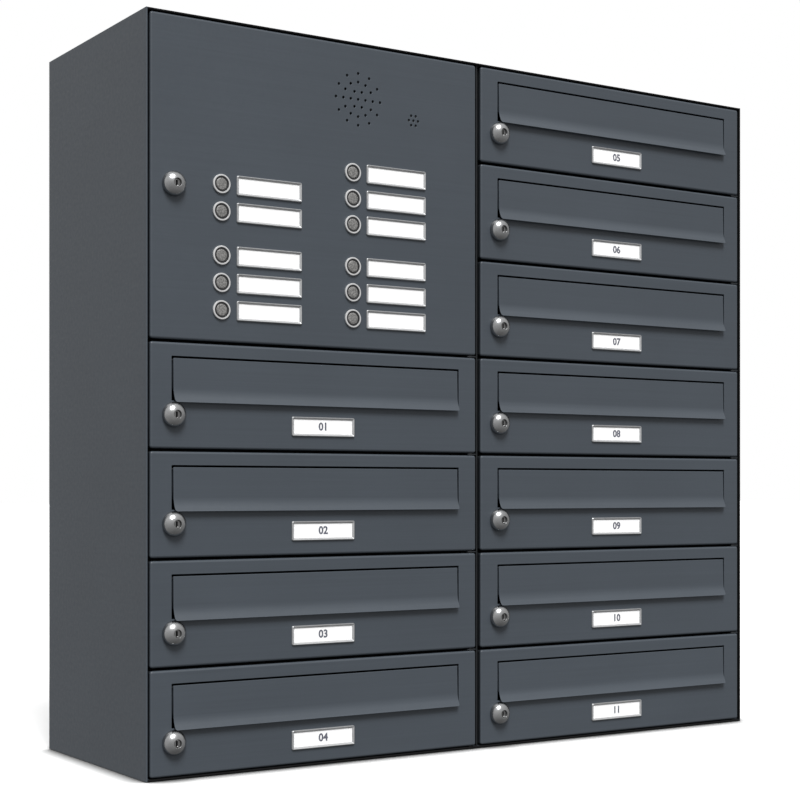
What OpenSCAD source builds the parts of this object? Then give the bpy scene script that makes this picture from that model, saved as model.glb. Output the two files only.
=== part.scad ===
// Cluster mailbox unit: two columns of letter boxes in one casing, with a bell
// and speech panel above the left column.
// X runs to the right, Y to the back and Z up. The origin is the middle of the
// casing's base. Doors turn about a rod at their right edge, flaps about a pin
// at their top edge, lock cylinders about their own axis, and bells slide in.

/* [Casing] */
// Depth of the casing, from its front edge to its back
case_d = 260; // [240:1:300]
// Thickness of the outer casing sheet
case_t = 2; // [1.5:0.1:2.5]
// Thickness of the rear panel
rear_t = 1.5; // [1:0.1:2]
// Thickness of the wall between the columns
divider_t = 2; // [1.5:0.1:3]
// How far the wall between the columns is set back from the door faces
divider_in = 3; // [0:0.5:6]
// Thickness of the shelves between the boxes
shelf_t = 1; // [0.8:0.1:1.2]
// Radius of the four wall fixing holes
wall_hole_r = 4.25; // [3:0.25:6]
// Radius of the cable entry behind the bell panel
cable_hole_r = 15; // [8:1:20]

/* [Doors] */
// Width of a door
door_w = 400; // [380:1:420]
// Height of a letter box door
door_h = 107; // [105:1:120]
// Depth of the folded edges of a door
pan_d = 12; // [11:0.5:13]
// Thickness of the door sheet
door_t = 1.5; // [1.2:0.1:1.6]
// Gap at each side of a door
gap_x = 2.5; // [2.3:0.1:3]
// Gap between the doors of neighbouring rows
gap_z = 3; // [2.5:0.1:4]
// Gap above the top row and below the bottom row
end_gap = 1.2; // [1:0.1:3]
// Radius of the hinge rods
rod_r = 2.5; // [2:0.1:2.5]

/* [Flaps] */
// Width of the mail slot in a door
slot_w = 353; // [340:1:356]
// Height of the mail slot in a door
slot_h = 45; // [42:0.5:45]
// Distance from the top of a door to its slot
slot_top = 13.8; // [12:0.1:16]
// Gap round a flap inside its slot
flap_gap = 2; // [1.6:0.1:2.2]
// Thickness of the flap sheet
flap_t = 1.2; // [1:0.1:1.3]
// Height of the plain face of a flap
face_h = 35.5; // [35:0.5:38]
// How far the plain face leans out at its lower end
face_lean = 0.8; // [0.5:0.1:2]
// Height of the bent lip below the plain face
lip_h = 9.1; // [8:0.1:9.5]
// How far the lip stands out past the plain face
lip_out = 4.7; // [4:0.1:7]
// Corner radius of the lip
lip_r = 2.5; // [1:0.5:4]

/* [Locks] */
// Radius of the domed lock cover
dome_r = 12.8; // [11:0.1:12.8]
// Height of the domed lock cover
dome_h = 11; // [8:0.1:11.5]
// Radius of the turning lock cylinder
plug_r = 4.2; // [4:0.1:5]
// How far the cylinder's face lies behind the top of its cover
plug_in = 3; // [0.5:0.5:4]
// Length of the locking cam, from the cylinder's axis
cam_len = 25.5; // [24.5:0.5:26]
// Distance from the left edge of a door to its lock
lock_x = 25.5; // [25:0.5:27]
// Height of a letter box lock above the bottom of its door
lock_z = 34; // [30:0.5:35]
// Height of the bell panel's lock above the bottom of the panel
panel_lock_z = 156.5; // [140:0.5:170]

/* [Name windows] */
// Width of a name window
win_w = 77; // [60:0.5:78]
// Height of a name window
win_h = 20.5; // [18:0.5:22]
// Height of a window's lower edge above the bottom of its door
win_z = 14.8; // [10:0.1:16]
// Width of the rim round a name card
win_rim = 2; // [1.5:0.1:3]

/* [Bell panel] */
// Distance from the panel's left edge to the left column of bells
bell_x = 79; // [65:0.5:85]
// Distance between the two columns of bells
bell_columns = 157.5; // [150:0.5:165]
// Height of the lowest bells above the bottom of the panel
bell_z = 32.5; // [25:0.5:40]
// Distance between the bells of one block
bell_pitch = 28; // [25:0.5:30]
// Extra space between the lower and the upper block
bell_break = 17; // [5:0.5:20]
// Radius of the metal ring round a bell
ring_r = 9.9; // [9:0.1:11]
// Radius of the bell's press cap
cap_r = 6.3; // [5.5:0.1:6.6]
// How far a bell travels when pressed
bell_travel = 1.5; // [1:0.1:1.6]
// Place of the speaker's centre, from the panel's left and lower edges
speaker_at = [244, 269]; // [40:1:340]
// Distance between the rings of speaker holes
speaker_ring = 9.3; // [8:0.1:10]
// Place of the microphone's centre, from the panel's left and lower edges
mic_at = [315.5, 254.5]; // [40:0.5:340]
// Radius of the ring of microphone holes
mic_ring = 6; // [5:0.1:7]
// Radius of each speech hole
speech_hole_r = 1.5; // [1:0.1:1.6]

/* [Hidden] */
$fn = 48;
rows = 7;
left_doors = 4;
door_count = 11;
lock_count = 12;
panel_rows = 3;
lower_bells = 3;

pitch_z = door_h + gap_z;
column_w = door_w + 2 * gap_x;
case_w = 2 * case_t + divider_t + 2 * column_w;
case_h = 2 * case_t + 2 * end_gap + rows * pitch_z - gap_z;
front_y = -case_d / 2;
inner_d = case_d - rear_t;
panel_h = panel_rows * pitch_z - gap_z;

play = 0.05;
eps = 0.5;
rod_in = rod_r + door_t + 1;
shelf_y = pan_d + 2;
tab_w = 11;
tab_y = 1.2;

slot_x = (door_w - slot_w) / 2;
slot_z = door_h - slot_top - slot_h;
flap_x = slot_x + flap_gap;
flap_w = slot_w - 2 * flap_gap;
flap_z = slot_z + slot_h - flap_gap;
flap_h = face_h + lip_h;
pin_r = 1.5;
pin_y = 3.2;
pin_drop = 2;
pin_past = 3.5;
ear_t = 1.5;
ear_off = 1;
ear_d = 7;
return_h = 33;

barrel_r = 8;
dome_rim = 1.6;
nut_r = 11.5;
nut_t = 3.4;
cam_y = pan_d + 2.4;
cam_t = 2;
cam_w = 10;
strike_y = pan_d + 0.6;
strike_t = 1.2;
strike_reach = 6.5;
strike_leg = 17;
strike_h = 28;

ring_step_r = 8.15;
ring_h = 2.2;
ring_step = 0.7;
bell_barrel_r = 8;
bell_barrel_l = 8;
switch_y = 18.2;
board_y = 21;
board_t = 1.6;
board_edge = 16;

steel = [0.23, 0.26, 0.29];
zinc = [0.62, 0.64, 0.66];
polished = [0.80, 0.81, 0.82];
black = [0.08, 0.08, 0.09];
card = [0.96, 0.96, 0.96];

// Two-digit name of one of a run of parts, counted from zero
function named(stem, n) = str(stem, n < 9 ? "0" : "", n + 1);

// Column and row of a door: the left column from the top down, then the right
function door_column(n) = n < left_doors ? 0 : 1;
function door_row(n) = n < left_doors ? left_doors - 1 - n : rows - 1 + left_doors - n;

// Left edge of a column's doors, and lower edge of a row's doors
function column_x(c) = -case_w / 2 + case_t + gap_x + c * (column_w + divider_t);
function row_z(r) = case_t + end_gap + r * pitch_z;

// Place of a door's or the panel's lower left front corner; the panel comes last
function door_at(n) = [column_x(door_column(n)), front_y, row_z(door_row(n))];
panel_at = [column_x(0), front_y, row_z(left_doors)];
function lock_at(n) =
    n < door_count
        ? door_at(n) + [lock_x, 0, lock_z]
        : panel_at + [lock_x, 0, panel_lock_z];

// Bells from the top down, five in the left column and six in the right
function bell_row(k) = bell_z + k * bell_pitch + (k >= lower_bells ? bell_break : 0);
bells = concat(
    [for (k = [4:-1:0]) [bell_x, bell_row(k)]],
    [for (k = [5:-1:0]) [bell_x + bell_columns, bell_row(k)]]
);

// A solid outline given as [y, z] points, stretched along X
module along_x(length, outline) {
    rotate([90, 0, 90])
        linear_extrude(length)
            polygon(outline);
}

// A round profile given as [radius, forward] points, turned about the Y axis
module turned(outline) {
    rotate([90, 0, 0])
        rotate_extrude()
            polygon(outline);
}

// A cylinder along Y from y to y + length
module bar_y(r, y, length) {
    translate([0, y, 0])
        rotate([-90, 0, 0])
            cylinder(r = r, h = length);
}

// ---- casing ----

module casing_side() {
    cube([case_t, case_d, case_h]);
}

module casing_side_left() {
    color(steel)
        translate([-case_w / 2, front_y, 0])
            casing_side();
}

module casing_side_right() {
    color(steel)
        translate([case_w / 2 - case_t, front_y, 0])
            casing_side();
}

module casing_plate(z) {
    color(steel)
        translate([-case_w / 2 + case_t, front_y, z])
            cube([case_w - 2 * case_t, case_d, case_t]);
}

module casing_top() {
    casing_plate(case_h - case_t);
}

module casing_bottom() {
    casing_plate(0);
}

module casing_rear() {
    hole_x = 280;
    low_z = row_z(0) + door_h / 2;
    high_z = row_z(rows - 1) + door_h / 2;
    cable_at = [column_x(0) + door_w / 2, row_z(left_doors) + 2 * pitch_z];
    color(steel)
        difference() {
            translate([-case_w / 2 + case_t, -front_y - rear_t, case_t])
                cube([case_w - 2 * case_t, rear_t, case_h - 2 * case_t]);
            for (x = [-hole_x, hole_x], z = [low_z, high_z])
                translate([x, 0, z])
                    bar_y(wall_hole_r, -front_y - rear_t - 1, rear_t + 2);
            translate([cable_at[0], 0, cable_at[1]])
                bar_y(cable_hole_r, -front_y - rear_t - 1, rear_t + 2);
        }
}

module column_divider() {
    color(steel)
        translate([-divider_t / 2, front_y + divider_in, case_t])
            cube([divider_t, inner_d - divider_in, case_h - 2 * case_t]);
}

// One shelf, with the tab at its front right corner that steadies the hinge rod
module shelf() {
    rod_x = gap_x + door_w - rod_in;
    difference() {
        union() {
            translate([0, shelf_y, 0])
                cube([column_w, inner_d - shelf_y, shelf_t]);
            translate([rod_x - tab_w / 2, tab_y, 0])
                cube([tab_w, shelf_y - tab_y + 1, shelf_t]);
        }
        translate([rod_x, rod_in, -1])
            cylinder(r = rod_r + play, h = shelf_t + 2);
    }
}

module box_shelves() {
    shelf_counts = [left_doors, rows - 1];
    color(steel)
        for (c = [0, 1], r = [1:shelf_counts[c]])
            translate([column_x(c) - gap_x, front_y, row_z(r) - gap_z / 2 - shelf_t / 2])
                shelf();
}

module hinge_rods() {
    color(black)
        for (c = [0, 1])
            translate([column_x(c) + door_w - rod_in, front_y + rod_in, case_t])
                cylinder(r = rod_r, h = case_h - 2 * case_t);
}

// The angle that a lock's cam turns behind, against the wall at the door's left
module strike() {
    outline = [
        [0, 0], [strike_reach, 0], [strike_reach, strike_t],
        [strike_t, strike_t], [strike_t, strike_leg], [0, strike_leg]
    ];
    translate([-lock_x - gap_x, strike_y, -strike_h / 2])
        linear_extrude(strike_h)
            polygon(outline);
}

module lock_strikes() {
    color(zinc)
        for (n = [0:lock_count - 1])
            translate(lock_at(n))
                strike();
}

// ---- doors ----

// A folded sheet door, open at the back, bored for its hinge rod and its lock
module pan(h, lock_height) {
    difference() {
        cube([door_w, pan_d, h]);
        translate([door_t, door_t, door_t])
            cube([door_w - 2 * door_t, pan_d, h - 2 * door_t]);
        translate([door_w - rod_in, rod_in, -1])
            cylinder(r = rod_r + play, h = h + 2);
        translate([lock_x, 0, lock_height])
            bar_y(barrel_r + play, -1, door_t + 2);
    }
}

// The lock's domed cover, barrel and ring nut, bored for the turning cylinder
module lock_housing() {
    dome = [for (a = [0:9:90]) [dome_r * cos(a), dome_rim + (dome_h - dome_rim) * sin(a)]];
    difference() {
        union() {
            translate([0, -play, 0])
                turned(concat([[0, 0], [dome_r, 0]], dome));
            bar_y(barrel_r, -play - eps, cam_y + play + eps - 0.2);
            translate([0, door_t + 0.1, 0])
                rotate([-90, 0, 0])
                    cylinder(r = nut_r, h = nut_t, $fn = 6);
        }
        bar_y(plug_r + play, -dome_h - 1, dome_h + cam_y + 2);
    }
}

module name_window() {
    frame_t = 2;
    pocket = 1.3;
    card_t = 0.45;
    translate([0, -frame_t - play, 0])
        difference() {
            cube([win_w, frame_t, win_h]);
            translate([win_rim, -1, win_rim])
                cube([win_w - 2 * win_rim, 1 + pocket, win_h - 2 * win_rim]);
        }
    color(card)
        translate([win_rim + 0.2, pocket - frame_t - 2 * play - card_t, win_rim + 0.2])
            cube([win_w - 2 * win_rim - 0.4, card_t, win_h - 2 * win_rim - 0.4]);
}

// The lug behind the door's sheet that carries one end of a flap's pin
module flap_ear() {
    difference() {
        translate([0, door_t - eps, -ear_d / 2])
            cube([ear_t, ear_d - door_t + eps, ear_d]);
        translate([-1, pin_y, 0])
            rotate([0, 90, 0])
                cylinder(r = pin_r + play, h = ear_t + 2);
    }
}

module door(n) {
    translate(door_at(n)) {
        color(steel) {
            difference() {
                pan(door_h, lock_z);
                translate([slot_x, -1, slot_z])
                    cube([slot_w, door_t + 2, slot_h]);
            }
            for (x = [slot_x - ear_off - ear_t, slot_x + slot_w + ear_off])
                translate([x, 0, flap_z - pin_drop])
                    flap_ear();
        }
        color(polished)
            translate([lock_x, 0, lock_z])
                lock_housing();
        color(polished)
            translate([(door_w - win_w) / 2, 0, win_z])
                name_window();
    }
}

// What is cut away to round a lower corner of the lip, at the origin's upper right
module corner_cut() {
    depth = 2 * (face_lean + lip_out);
    translate([0, -depth, 0])
        difference() {
            translate([-1, 0, -1])
                cube([lip_r + 1, 2 * depth, lip_r + 1]);
            translate([lip_r, 0, lip_r])
                bar_y(lip_r, -1, 2 * depth + 2);
        }
}

// The pin that a flap turns on, or the bore for it, from the flap's top left corner
module flap_pin(r) {
    translate([-flap_gap - pin_past, pin_y, -pin_drop])
        rotate([0, 90, 0])
            cylinder(r = r, h = slot_w + 2 * pin_past);
}

// A flap: leaning face, flared lip and folded ends, riveted to its pin
module flap(n) {
    front = [[0, 0], [-face_lean, -face_h], [-face_lean - lip_out, -flap_h]];
    back = [for (i = [2:-1:0]) front[i] + [flap_t, 0]];
    end_fold = [
        [0, 0], [pin_y + 2, 0], [pin_y + 2, -5],
        [1.5, -return_h], [-face_lean * return_h / face_h, -return_h]
    ];
    translate(door_at(n) + [flap_x, 0, flap_z]) {
        color(steel)
            difference() {
                union() {
                    along_x(flap_w, concat(front, back));
                    for (x = [0, flap_w - flap_t])
                        translate([x, 0, 0])
                            along_x(flap_t, end_fold);
                }
                translate([0, 0, -flap_h])
                    corner_cut();
                translate([flap_w, 0, -flap_h])
                    mirror([1, 0, 0])
                        corner_cut();
                flap_pin(pin_r + play);
            }
        color(black)
            flap_pin(pin_r);
    }
}

// The turning part of a lock: cylinder with its key slot, and cam hanging down
module lock_cylinder(n) {
    slot_wide = 1.8;
    slot_tall = 5.6;
    slot_deep = 3;
    front = -dome_h + plug_in;
    color(polished)
        translate(lock_at(n)) {
            difference() {
                bar_y(plug_r, front, cam_y + cam_t + 1.5 - front);
                translate([-slot_wide / 2, front - 1, -slot_tall / 2])
                    cube([slot_wide, slot_deep + 1, slot_tall]);
            }
            bar_y(cam_w / 2, cam_y, cam_t);
            translate([-cam_w / 2, cam_y, -cam_len])
                cube([cam_w, cam_t, cam_len]);
        }
}

// ---- bell and speech panel ----

module intercom_panel() {
    translate(panel_at) {
        color(steel)
            difference() {
                pan(panel_h, panel_lock_z);
                for (p = bells)
                    translate([p[0], 0, p[1]])
                        bar_y(bell_barrel_r + play, -1, door_t + 2);
                for (p = speech_holes())
                    translate([p[0], 0, p[1]])
                        bar_y(speech_hole_r, -1, door_t + 2);
            }
        color(polished)
            translate([lock_x, 0, panel_lock_z])
                lock_housing();
    }
}

// Centres of the speaker's rings of 1, 6, 12 and 12 holes and the microphone's 1 and 6
function ring_of(centre, r, count) =
    [for (i = [0:count - 1]) centre + r * [cos(i * 360 / count), sin(i * 360 / count)]];
function speech_holes() = concat(
    [speaker_at],
    ring_of(speaker_at, speaker_ring, 6),
    ring_of(speaker_at, 2 * speaker_ring, 12),
    ring_of(speaker_at, 3 * speaker_ring, 12),
    [mic_at],
    ring_of(mic_at, mic_ring, 6)
);

// Metal ring with a stepped face and a barrel through the panel, and its nut
module bell_ring() {
    outline = [
        [cap_r + play, -bell_barrel_l], [cap_r + play, ring_h - ring_step],
        [ring_step_r, ring_h - ring_step], [ring_step_r, ring_h],
        [ring_r - 0.5, ring_h], [ring_r, ring_h - 0.5], [ring_r, 0],
        [bell_barrel_r, 0], [bell_barrel_r, -bell_barrel_l]
    ];
    turned(outline);
    translate([0, door_t, 0])
        rotate([-90, 0, 0])
            difference() {
                cylinder(r = ring_r + 1, h = 3, $fn = 6);
                translate([0, 0, -1])
                    cylinder(r = bell_barrel_r + 2 * play, h = 5);
            }
}

module bell_rings() {
    color(polished)
        for (p = bells)
            translate(panel_at + [p[0], 0, p[1]])
                bell_ring();
}

module bell_name_windows() {
    window_off = 17.5;
    color(polished)
        for (p = bells)
            translate(panel_at + [p[0] + window_off, 0, p[1] - win_h / 2])
                name_window();
}

module bell_button(n) {
    face_y = -ring_h + 0.3;
    collar_y = bell_barrel_l + 0.3;
    stem_end = switch_y - bell_travel - 0.3;
    color(zinc)
        translate(panel_at + [bells[n][0], 0, bells[n][1]]) {
            bar_y(cap_r, face_y, collar_y - face_y);
            bar_y(cap_r + 0.9, collar_y, 1);
            bar_y(2, collar_y, stem_end - collar_y);
        }
}

// Board with a switch behind every bell, on four posts from the panel's sheet
module bell_circuit_board() {
    last = bells[len(bells) - 1];
    low = [bells[0][0] - board_edge, last[1] - board_edge];
    high = [last[0] + board_edge, bell_row(5) + board_edge];
    switch_w = 6;
    post_r = 3;
    post_in = 5;
    color([0.10, 0.32, 0.18])
        translate(panel_at) {
            translate([low[0], board_y, low[1]])
                cube([high[0] - low[0], board_t, high[1] - low[1]]);
            for (x = [low[0] + post_in, high[0] - post_in], z = [low[1] + post_in, high[1] - post_in])
                translate([x, 0, z])
                    bar_y(post_r, door_t, board_y - door_t + eps);
            for (p = bells)
                translate([p[0] - switch_w / 2, switch_y, p[1] - switch_w / 2])
                    cube([switch_w, board_y - switch_y + eps, switch_w]);
        }
}

module door_speaker() {
    outline = [
        [0, -12], [10, -11], [30, -4], [30, 0], [33, 0], [33, -5],
        [17, -14], [17, -22], [0, -22]
    ];
    color(black)
        translate(panel_at + [speaker_at[0], door_t, speaker_at[1]])
            turned(outline);
}

module microphone() {
    color(black)
        translate(panel_at + [mic_at[0], 0, mic_at[1]])
            bar_y(9, door_t, 8);
}

casing_side_left();
casing_side_right();
casing_top();
casing_bottom();
casing_rear();
column_divider();
box_shelves();
hinge_rods();
lock_strikes();
intercom_panel();
bell_rings();
bell_name_windows();
door_speaker();
microphone();
bell_circuit_board();
for (n = [0:door_count - 1]) {
    door(n);
    flap(n);
}
for (n = [0:lock_count - 1])
    lock_cylinder(n);
for (n = [0:len(bells) - 1])
    bell_button(n);
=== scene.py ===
"""Looks of the cluster mailbox unit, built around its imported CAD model.

Shapes are made in millimetres, in the row's frame, and become metres when a
piece is finished. In a door's or the panel's own frame, x runs from its left
edge, y from its front face to the back, and z from its lower edge.
"""

from math import cos, pi, radians, sin, sqrt

import bmesh
import bpy
from mathutils import Matrix, Vector
from mathutils.geometry import tessellate_polygon


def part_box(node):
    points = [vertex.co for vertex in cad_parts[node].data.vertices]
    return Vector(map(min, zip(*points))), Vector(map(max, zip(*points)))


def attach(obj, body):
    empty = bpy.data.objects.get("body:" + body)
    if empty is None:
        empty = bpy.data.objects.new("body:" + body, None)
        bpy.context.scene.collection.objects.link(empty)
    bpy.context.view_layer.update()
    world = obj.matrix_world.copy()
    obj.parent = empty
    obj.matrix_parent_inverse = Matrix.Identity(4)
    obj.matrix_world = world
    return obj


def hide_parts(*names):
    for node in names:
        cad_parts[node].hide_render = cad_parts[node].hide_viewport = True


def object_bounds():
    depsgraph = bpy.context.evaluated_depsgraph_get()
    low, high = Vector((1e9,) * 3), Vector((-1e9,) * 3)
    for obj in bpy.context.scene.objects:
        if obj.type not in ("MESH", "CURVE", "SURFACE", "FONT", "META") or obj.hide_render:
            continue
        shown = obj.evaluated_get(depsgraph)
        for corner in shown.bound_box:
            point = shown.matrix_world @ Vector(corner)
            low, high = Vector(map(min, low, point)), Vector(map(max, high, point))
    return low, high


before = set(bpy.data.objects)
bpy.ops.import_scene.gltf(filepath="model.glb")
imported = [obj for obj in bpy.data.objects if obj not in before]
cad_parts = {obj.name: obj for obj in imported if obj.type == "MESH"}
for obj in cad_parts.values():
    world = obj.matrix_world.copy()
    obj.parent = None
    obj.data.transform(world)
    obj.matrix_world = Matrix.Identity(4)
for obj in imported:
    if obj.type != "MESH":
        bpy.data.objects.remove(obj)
cad_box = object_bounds()

MM = 0.001
DOORS = range(1, 12)
LOCKS = range(1, 13)
BELLS = range(1, 12)
PANEL_LOCK = 12

# ---- sizes that the boxes of the CAD nodes don't give, in millimetres ----

# doors and bell panel: folded sheets that turn on a rod
PAN_D = 12.0
DOOR_T = 1.5
FOLD_R = 2.2
CORNER_R = 2.6
INNER_FOLD_R = 0.7
CHAMFER = 0.3
ROD_IN = 5.0
ROD_HOLE_R = 2.55

# mail slot, from the door's lower left corner, and the lugs for its flap's pin
SLOT_X = 23.5
SLOT_Z = 48.2
SLOT_W = 353.0
SLOT_H = 45.0
SLOT_CORNER_R = 0.8
EAR_OFF = 1.0
EAR_T = 1.5
EAR_D = 7.0
EAR_HOLE_R = 1.6

# flap; its pin lies PIN_Y behind the door's face and PIN_DROP below the flap's top
FLAP_GAP = 2.0
FLAP_T = 1.2
FLAP_FACE_H = 35.5
FLAP_LEAN = 0.8
FLAP_H = 44.6
FLAP_LIP_OUT = 4.7
FLAP_LIP_R = 2.5
FLAP_CREASE = 5.0
PIN_R = 1.5
PIN_Y = 3.2
PIN_DROP = 2.0
PIN_PAST = 5.5

# lock: domed cover on a threaded barrel, and a plug with its key slot, cam and end screw
LOCK_X = 25.5
LOCK_Z = 34.0
DOME_R = 12.8
DOME_H = 11.0
DOME_RIM = 1.6
BARREL_R = 8.0
LOCK_NUT_R = 11.5
LOCK_NUT_T = 3.4
PLUG_R = 4.2
PLUG_IN = 3.0
PLUG_PLAY = 0.12
KEY_SLOT_W = 1.8
KEY_SLOT_H = 5.6
KEY_SLOT_D = 3.0
KEY_SLOT_R = 0.7
CAM_Y = 14.4
CAM_T = 2.0
CAM_W = 10.0
CAM_LEN = 25.5
CAM_CORNER = 2.0
SCREW_H = 1.5

# name window
WINDOW_W = 77.0
WINDOW_H = 20.5
WINDOW_Z = 14.8
WINDOW_T = 2.0
WINDOW_R = 1.7
WINDOW_RIM = 2.7
CARD_FORWARD = 0.45
NUMBER_H = 8.0

# bell button: ring, black seat and press cap, with its window and its switch
RING_R = 9.9
RING_STEP_R = 8.15
RING_H = 2.2
SEAT_H = 1.6
BELL_BARREL_R = 8.0
BELL_BARREL_L = 8.0
CAP_R = 6.3
CAP_SINK = 0.3
COLLAR_R = 7.2
STEM_R = 2.0
BELL_WINDOW_OFF = 17.5
SWITCH_Y = 18.2

# circuit board behind the bell panel
BOARD_Y = 21.0
BOARD_T = 1.6
BOARD_EDGE = 16.0
POST_IN = 5.0
POST_R = 3.0
SCREW_R = 1.5

# speaker and microphone behind their holes
SPEECH_HOLE_R = 1.5
SPEAKER_RING = 9.3
MIC_RING = 6.0
SPEAKER_R = 33.0
SPEAKER_D = 22.0
MAGNET_R = 17.0
MIC_R = 9.0
MIC_D = 8.0

# black strips that paint shade: on the casing's front edges, in the gaps between rows, and beside
# the divider
SHADE_STRIP_D = 3.0
SHADE_STRIP_LAP = 0.9
SHADE_STRIP_CUT = (0.45, 0.48)
GAP_Z = 3.0
GAP_STRIP_Y = 12.3
GAP_STRIP_D = 2.6
GAP_STRIP_CUT = (0.4, 0.4)
STRIP_T = 0.15
STRIP_W = 0.55
STRIP_D = 12.0

# edges are eased by EASE, and a part on a face stands STAND_OFF clear of it
EASE = 0.3
STAND_OFF = 0.02

FOLD_STEPS = 4
CORNER_STEPS = 4
ROUND_STEPS = 48
DOME_STEPS = 12
CREASE_STEPS = 5
PIN_STEPS = 24
ROD_HOLE_STEPS = 32
SPEECH_HOLE_STEPS = 20

# the second material slot of a door or the panel, for its folded walls, which take the darker coat
# as painted shade
WALLS = 1

# ---- materials ----


class Nodes:
    """A short way to make and join the nodes of one material."""

    def __init__(self, name):
        self.material = bpy.data.materials.new(name)
        self.material.use_nodes = True
        self.tree = self.material.node_tree
        self.tree.nodes.clear()
        self.out = self.tree.nodes.new("ShaderNodeOutputMaterial")
        self.shader = self.tree.nodes.new("ShaderNodeBsdfPrincipled")
        self.join(self.shader.outputs[0], self.out.inputs[0])

    def join(self, start, end):
        self.tree.links.new(start, end)

    def put(self, value, socket):
        """Sets a socket to a number or colour, or links another node's output to it."""
        if isinstance(value, bpy.types.NodeSocket):
            self.join(value, socket)
        else:
            socket.default_value = value

    def set(self, **values):
        """Sets the shader's own sockets, with _ for the spaces in their names."""
        for name, value in values.items():
            self.put(value, self.shader.inputs[name.replace("_", " ")])

    def place(self, scale):
        """The object's own coordinates, in metres, stretched by scale."""
        coords = self.tree.nodes.new("ShaderNodeTexCoord")
        mapping = self.tree.nodes.new("ShaderNodeMapping")
        mapping.inputs["Scale"].default_value = scale
        self.join(coords.outputs["Object"], mapping.inputs["Vector"])
        return mapping.outputs[0]

    def noise(self, scale, detail=2.0, rough=0.5, stretch=(1, 1, 1)):
        node = self.tree.nodes.new("ShaderNodeTexNoise")
        node.inputs["Scale"].default_value = scale
        node.inputs["Detail"].default_value = detail
        node.inputs["Roughness"].default_value = rough
        self.join(self.place(stretch), node.inputs["Vector"])
        return node.outputs[0]

    def cells(self, scale, feature="F1", stretch=(1, 1, 1)):
        node = self.tree.nodes.new("ShaderNodeTexVoronoi")
        node.feature = feature
        node.inputs["Scale"].default_value = scale
        self.join(self.place(stretch), node.inputs["Vector"])
        return node.outputs[0]

    def span(self, value, low, high, start=0.0, end=1.0):
        """Maps value from start..end to low..high."""
        node = self.tree.nodes.new("ShaderNodeMapRange")
        self.put(value, node.inputs["Value"])
        node.inputs["From Min"].default_value = start
        node.inputs["From Max"].default_value = end
        node.inputs["To Min"].default_value = low
        node.inputs["To Max"].default_value = high
        return node.outputs[0]

    def mix(self, factor, a, b):
        """A colour between a and b."""
        node = self.tree.nodes.new("ShaderNodeMix")
        node.data_type = "RGBA"
        self.put(factor, node.inputs[0])
        self.put(a if isinstance(a, bpy.types.NodeSocket) else (*a, 1), node.inputs[6])
        self.put(b if isinstance(b, bpy.types.NodeSocket) else (*b, 1), node.inputs[7])
        return node.outputs[2]

    def bump(self, *layers):
        """Stacks (height, strength, distance in metres) layers on the shader's normal."""
        normal = None
        for height, strength, distance in layers:
            node = self.tree.nodes.new("ShaderNodeBump")
            node.inputs["Strength"].default_value = strength
            node.inputs["Distance"].default_value = distance
            self.join(height, node.inputs["Height"])
            if normal is not None:
                self.join(normal, node.inputs["Normal"])
            normal = node.outputs[0]
        self.join(normal, self.shader.inputs["Normal"])

    def edges(self, radius):
        """A mask that is 1 on corners and 0 on flat faces, used to paint edge highlights."""
        reach = 0.25
        bevel = self.tree.nodes.new("ShaderNodeBevel")
        bevel.samples = 4
        bevel.inputs["Radius"].default_value = radius
        geometry = self.tree.nodes.new("ShaderNodeNewGeometry")
        dot = self.tree.nodes.new("ShaderNodeVectorMath")
        dot.operation = "DOT_PRODUCT"
        self.join(bevel.outputs[0], dot.inputs[0])
        self.join(geometry.outputs["True Normal"], dot.inputs[1])
        return self.span(dot.outputs["Value"], 1.0, 0.0, 1.0 - reach, 1.0)


def powder_coat(name, colour):
    """Satin powder coat: cloudy tone, faint streaks, orange peel, and corners lightened by a
    painted highlight that also stands for rubbed paint.
    """
    m = Nodes(name)
    edge_highlight_gain = 1.3
    streak = 0.05
    cloud = m.span(m.noise(5.0, 4.0, 0.6), 0.0, 1.0, 0.3, 0.7)
    lines = m.span(m.noise(1.0, 3.0, 0.7, stretch=(4, 4, 700)), 1 - streak, 1 + streak, 0.3, 0.7)
    dark = tuple(c * 0.95 for c in colour)
    light = tuple(c * 1.05 for c in colour)
    tone = m.mix(cloud, dark, light)
    shaded = m.tree.nodes.new("ShaderNodeMix")
    shaded.data_type = "RGBA"
    shaded.blend_type = "MULTIPLY"
    shaded.inputs[0].default_value = 1.0
    m.join(tone, shaded.inputs[6])
    m.join(lines, shaded.inputs[7])
    # corners take a lighter colour: a painted highlight where edges catch the light, partly also
    # rubbed paint
    worn_and_highlit = tuple(c * edge_highlight_gain for c in colour)
    m.set(Base_Color=m.mix(m.edges(0.0016), shaded.outputs[2], worn_and_highlit))
    m.set(Roughness=m.span(m.noise(260.0, 3.0), 0.40, 0.54, 0.25, 0.75))
    m.set(Specular_IOR_Level=0.42)
    peel = m.noise(900.0, 2.0, 0.5)
    grain = m.noise(3500.0, 1.0, 0.5)
    m.bump((peel, 0.10, 0.0001), (grain, 0.08, 0.00003))
    return m.material


def turned_metal(name, colour, rough=0.16, lines=2200.0, metal=1.0):
    """Polished metal with fine tool marks and a few handling smudges."""
    m = Nodes(name)
    smudge = m.noise(160.0, 4.0, 0.6)
    dull = tuple(c * 0.82 for c in colour)
    m.set(Base_Color=m.mix(m.span(smudge, 0, 1, 0.35, 0.7), colour, dull))
    m.set(Metallic=metal)
    m.set(Roughness=m.span(smudge, rough, rough + 0.12, 0.3, 0.75))
    marks = m.noise(1.0, 2.0, 0.6, stretch=(lines, lines * 0.2, lines))
    m.bump((marks, 0.10, 0.00003))
    return m.material


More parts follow.
